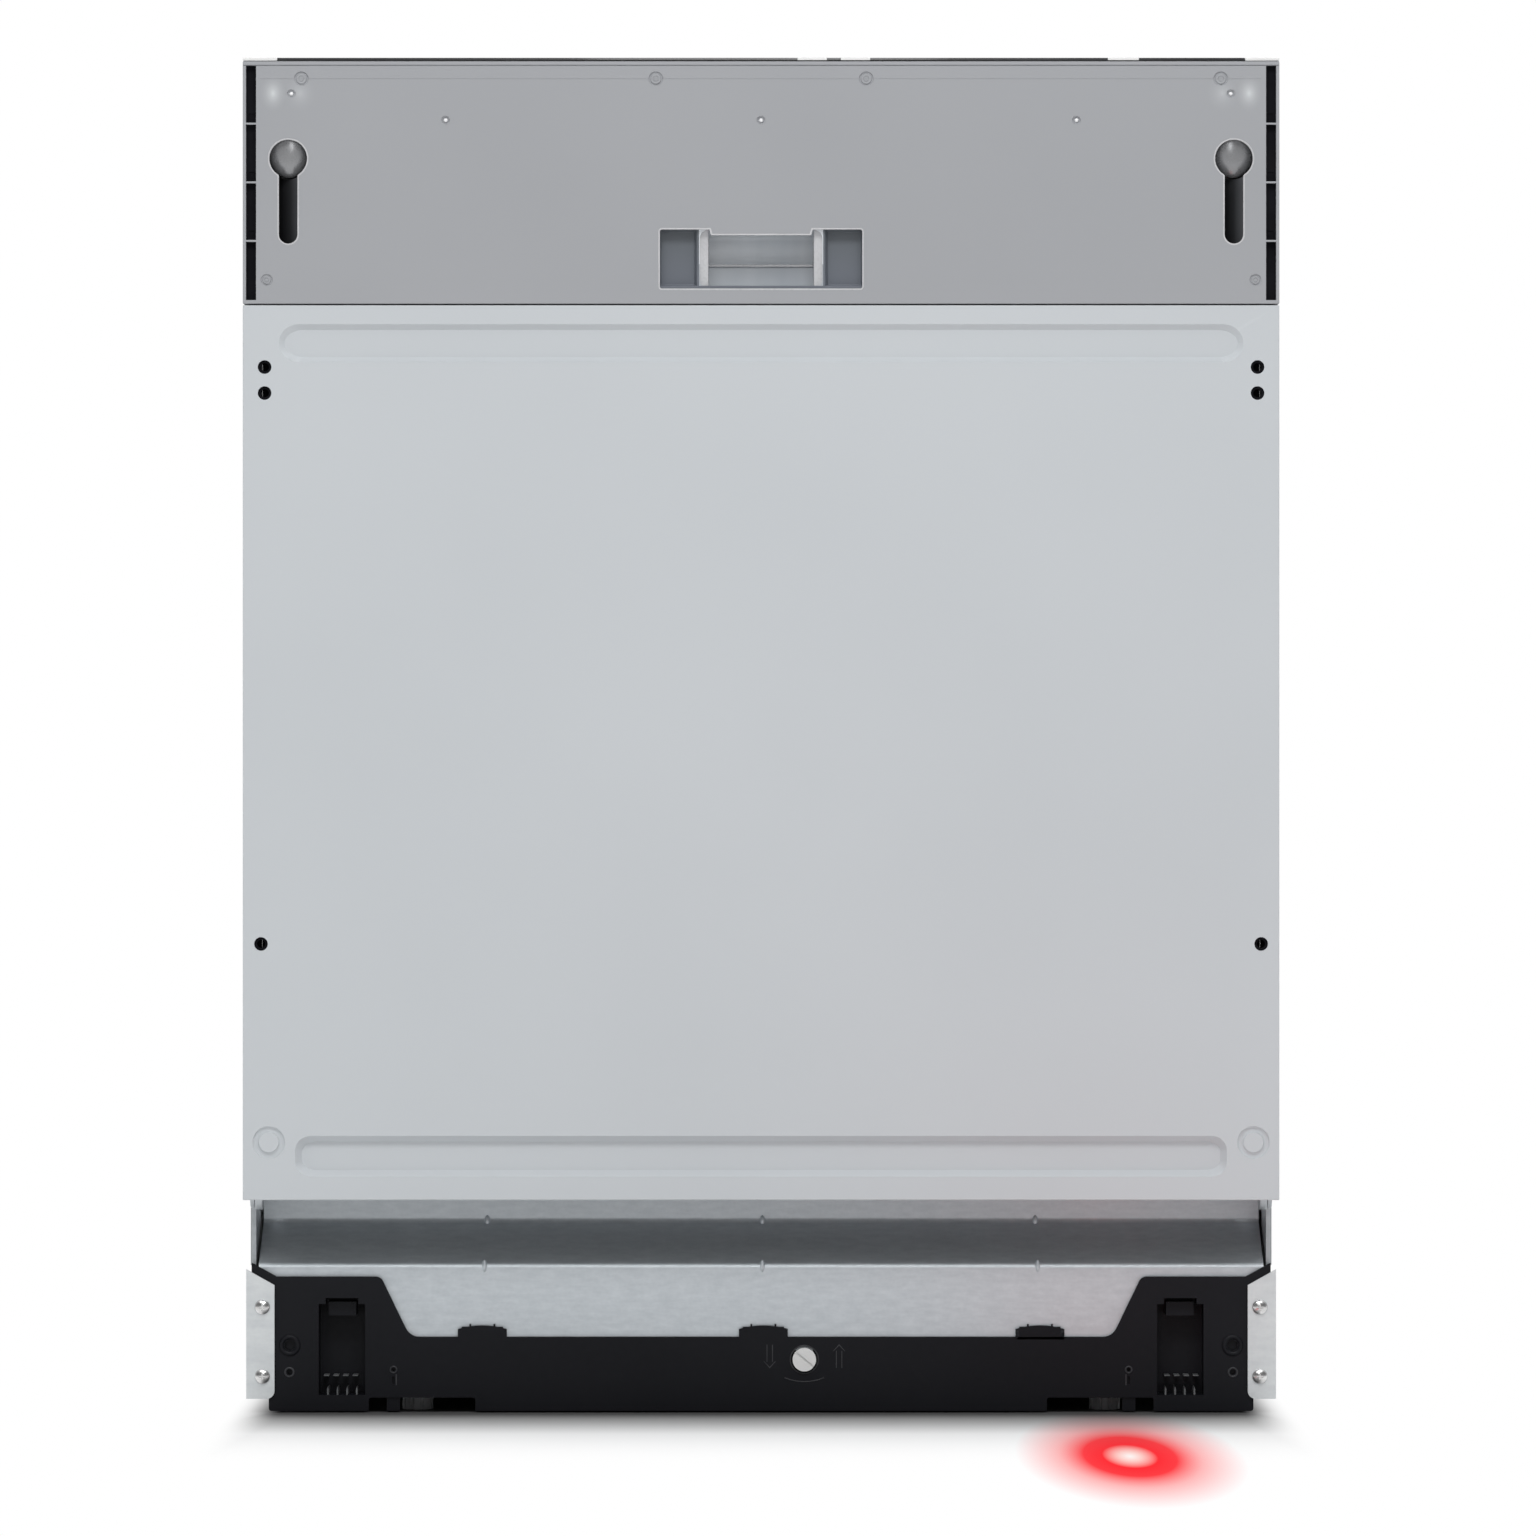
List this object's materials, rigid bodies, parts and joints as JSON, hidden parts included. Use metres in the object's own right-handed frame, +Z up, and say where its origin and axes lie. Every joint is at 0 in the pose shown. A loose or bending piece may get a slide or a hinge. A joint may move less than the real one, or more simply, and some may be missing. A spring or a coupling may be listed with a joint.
{
  "type": "built-in dishwasher",
  "caption": "Fully integrated dishwasher with a drop-down door that takes a furniture panel, pull-out racks, spray arms and adjustable feet.",
  "frame": {"origin": "on the floor, in the middle of the machine's outline", "axes": "+Z up, the door faces -Y, +X to the right of a person facing the door"},
  "size_m": [0.598, 0.55, 0.785],
  "materials": {
    "painted_sheet": "satin light grey coat",
    "console_plastic": "fine matt grain",
    "recess_plastic": "satin blue grey",
    "control_black": "gloss",
    "black_plastic": "satin moulding",
    "grey_plastic": "satin moulding",
    "white_plastic": "satin moulding",
    "coated_wire": "nylon coat on wire",
    "galvanised": "zinc coat with spangle",
    "stainless": "fine brushed",
    "steel": "plated",
    "zinc_screw": "bright zinc plate",
    "black_rubber": "matt",
    "red_lens": "clear red"
  },
  "bodies": {
    "cabinet": {"base_crossmember": "galvanised", "base_front": "black_plastic", "side_bracket_left": "galvanised", "side_bracket_right": "galvanised", "bracket_screw_1": "zinc_screw", "bracket_screw_2": "zinc_screw", "bracket_screw_3": "zinc_screw", "bracket_screw_4": "zinc_screw", "base_tray": "black_plastic", "side_panel_left": "galvanised", "side_panel_right": "galvanised", "rear_panel": "galvanised", "top_panel": "galvanised", "tub": "stainless", "tub_gasket": "black_rubber", "sump": "black_plastic", "flat_filter": "stainless", "water_softener": "white_plastic", "circulation_pump": "black_plastic", "drain_pump": "grey_plastic", "riser_pipe": "grey_plastic", "water_inlet_valve": "white_plastic", "cable_gland": "black_plastic", "door_striker": "steel", "hinge_bracket_left": "galvanised", "hinge_bracket_right": "galvanised", "door_spring_left": "steel", "door_spring_right": "steel", "upper_rail_left": "stainless", "upper_rail_right": "stainless"},
    "door": {"door_outer_panel": "painted_sheet", "console_fascia": "console_plastic", "handle_recess": "recess_plastic", "control_panel": "control_black", "indicator_lens": "red_lens", "door_inner_liner": "stainless", "dispenser_body": "grey_plastic", "door_latch": "black_plastic", "hinge_arm_left": "galvanised", "hinge_arm_right": "galvanised"},
    "lower_rack": {"lower_rack": "coated_wire", "cutlery_basket": "grey_plastic"},
    "dispenser_lid": {"dispenser_lid": "grey_plastic"},
    "rinse_aid_cap": {"rinse_aid_cap": "recess_plastic"},
    "power_button": {"power_button": "control_black"},
    "program_button": {"program_button": "control_black"},
    "start_button": {"start_button": "control_black"},
    "filter_cup": {"filter_cup": "grey_plastic"},
    "salt_cap": {"salt_cap": "white_plastic"},
    "lower_spray_arm": {"lower_spray_arm": "grey_plastic"},
    "upper_spray_arm": {"upper_spray_arm": "grey_plastic"},
    "upper_rack": {"upper_rack": "coated_wire"},
    "rack_wheel_front_left": {"rack_wheel_front_left": "grey_plastic"},
    "rack_wheel_front_right": {"rack_wheel_front_right": "grey_plastic"},
    "rack_wheel_rear_left": {"rack_wheel_rear_left": "grey_plastic"},
    "rack_wheel_rear_right": {"rack_wheel_rear_right": "grey_plastic"},
    "front_foot_left": {"front_foot_left": "grey_plastic"},
    "front_foot_right": {"front_foot_right": "grey_plastic"},
    "rear_foot": {"rear_foot": "grey_plastic"},
    "rear_foot_adjuster": {"rear_foot_adjuster": "white_plastic"}
  },
  "joints": [
    {"name": "door_hinge", "type": "hinge", "parent": "cabinet", "child": "door", "pos_m": [0, -0.245, 0.128], "axis": [1, 0, 0], "range_deg": [0, 90]},
    {"name": "dispenser_lid_slide", "type": "slide", "parent": "door", "child": "dispenser_lid", "axis": [-1, 0, 0], "range_m": [0, 0.056]},
    {"name": "rinse_aid_cap_turn", "type": "hinge", "parent": "door", "child": "rinse_aid_cap", "pos_m": [0.042, -0.216, 0.478], "axis": [0, -1, 0], "range_deg": [0, 90]},
    {"name": "power_button_press", "type": "slide", "parent": "door", "child": "power_button", "axis": [0, 0, -1], "range_m": [0, 0.001], "stiffness_N_per_m": 1500},
    {"name": "program_button_press", "type": "slide", "parent": "door", "child": "program_button", "axis": [0, 0, -1], "range_m": [0, 0.001], "stiffness_N_per_m": 1500},
    {"name": "start_button_press", "type": "slide", "parent": "door", "child": "start_button", "axis": [0, 0, -1], "range_m": [0, 0.001], "stiffness_N_per_m": 1500},
    {"name": "filter_cup_turn", "type": "hinge", "parent": "cabinet", "child": "filter_cup", "pos_m": [0, -0.076, 0.15], "axis": [0, 0, 1], "range_deg": [0, 90]},
    {"name": "salt_cap_turn", "type": "hinge", "parent": "cabinet", "child": "salt_cap", "pos_m": [-0.165, -0.091, 0.152], "axis": [0, 0, 1], "range_deg": [0, 360]},
    {"name": "lower_spray_arm_spin", "type": "hinge", "parent": "cabinet", "child": "lower_spray_arm", "pos_m": [0, 0.019, 0.18], "axis": [0, 0, 1], "continuous": true},
    {"name": "upper_rack_slide", "type": "slide", "parent": "cabinet", "child": "upper_rack", "axis": [0, -1, 0], "range_m": [0, 0.44]},
    {"name": "upper_spray_arm_spin", "type": "hinge", "parent": "upper_rack", "child": "upper_spray_arm", "pos_m": [0, 0.019, 0.41], "axis": [0, 0, 1], "continuous": true},
    {"name": "lower_rack_slide", "type": "slide", "parent": "cabinet", "child": "lower_rack", "axis": [0, -1, 0], "range_m": [0, 0.11]},
    {"name": "rack_wheel_front_left_roll", "type": "hinge", "parent": "lower_rack", "child": "rack_wheel_front_left", "pos_m": [-0.2538, -0.12, 0.169], "axis": [1, 0, 0], "range_deg": [0, 361]},
    {"name": "rack_wheel_front_right_roll", "type": "hinge", "parent": "lower_rack", "child": "rack_wheel_front_right", "pos_m": [0.2538, -0.12, 0.169], "axis": [1, 0, 0], "range_deg": [0, 361]},
    {"name": "rack_wheel_rear_left_roll", "type": "hinge", "parent": "lower_rack", "child": "rack_wheel_rear_left", "pos_m": [-0.2538, 0.133, 0.169], "axis": [1, 0, 0], "range_deg": [0, 361]},
    {"name": "rack_wheel_rear_right_roll", "type": "hinge", "parent": "lower_rack", "child": "rack_wheel_rear_right", "pos_m": [0.2538, 0.133, 0.169], "axis": [1, 0, 0], "range_deg": [0, 361]},
    {"name": "front_foot_left_screw", "type": "slide", "parent": "cabinet", "child": "front_foot_left", "axis": [0, 0, -1], "range_m": [0, 0.06]},
    {"name": "front_foot_right_screw", "type": "slide", "parent": "cabinet", "child": "front_foot_right", "axis": [0, 0, -1], "range_m": [0, 0.06]},
    {"name": "rear_foot_adjuster_turn", "type": "hinge", "parent": "cabinet", "child": "rear_foot_adjuster", "pos_m": [0.0251, 0, 0.0309], "axis": [0, 1, 0], "range_deg": [0, 3600]},
    {"name": "rear_foot_screw", "type": "slide", "parent": "cabinet", "child": "rear_foot", "axis": [0, 0, -1], "range_m": [0, 0.061]}
  ],
  "couplings": [
    {"joint": "upper_rack_slide", "follows": "door_hinge", "m_per_rad": 0.28},
    {"joint": "lower_rack_slide", "follows": "door_hinge", "m_per_rad": 0.07},
    {"joint": "rear_foot_screw", "follows": "rear_foot_adjuster_turn", "m_per_rad": 0.00095493},
    {"joint": "rack_wheel_front_left_roll", "follows": "door_hinge", "ratio": 4},
    {"joint": "rack_wheel_front_right_roll", "follows": "door_hinge", "ratio": 4},
    {"joint": "rack_wheel_rear_left_roll", "follows": "door_hinge", "ratio": 4},
    {"joint": "rack_wheel_rear_right_roll", "follows": "door_hinge", "ratio": 4}
  ]
}
